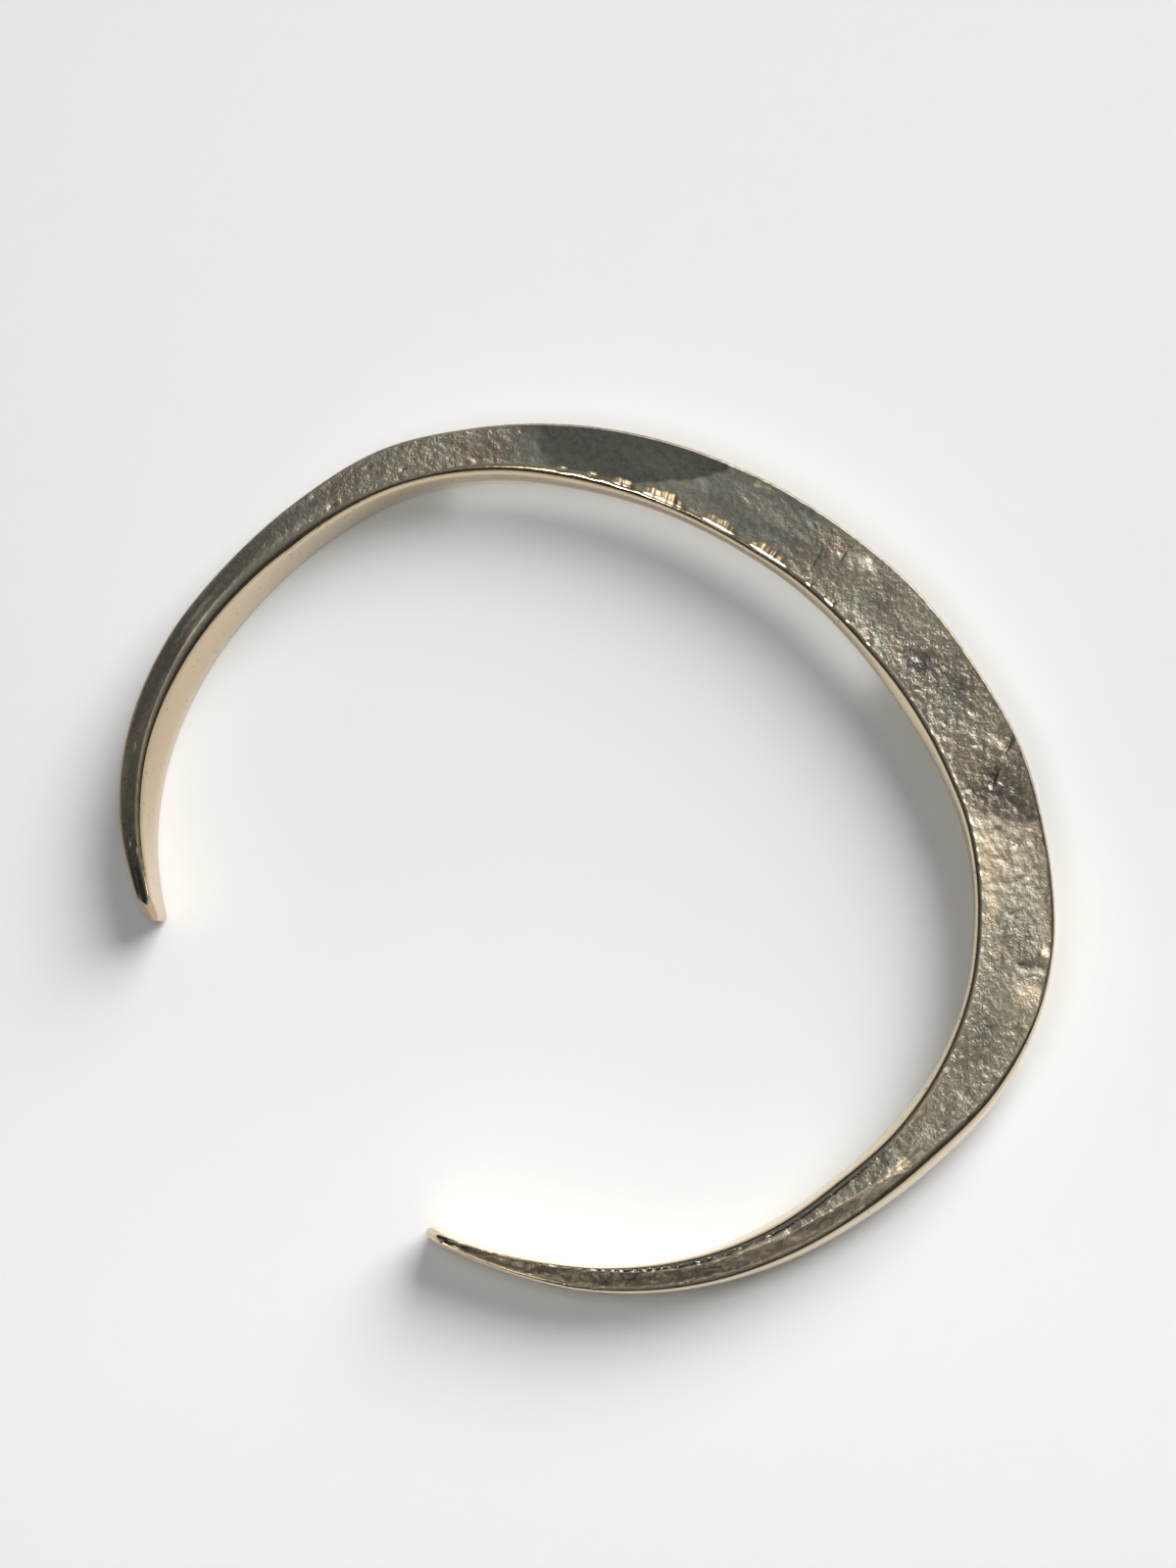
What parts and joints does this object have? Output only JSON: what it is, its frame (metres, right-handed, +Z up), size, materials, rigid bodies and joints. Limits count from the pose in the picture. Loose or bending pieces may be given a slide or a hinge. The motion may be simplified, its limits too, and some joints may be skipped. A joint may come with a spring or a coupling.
{
  "type": "cuff bracelet",
  "caption": "Open rigid cuff bracelet forged from one solid silver bar, wide at the back, tapering to rounded tips, with a hammered edge face.",
  "frame": {"origin": "middle of the underside of the bounding box, on the surface the cuff lies on", "axes": "+Z up through the hollow, along the band's width; +Y from the opening towards the back of the cuff; +X across the wrist, towards the heavier right shoulder"},
  "size_m": [0.0664, 0.0588, 0.0056],
  "materials": {
    "forged_silver": "forged sterling silver: hammered and lightly tarnished edge face, burnished walls"
  },
  "bodies": {
    "root": {"forged_cuff": "forged_silver"}
  },
  "joints": []
}
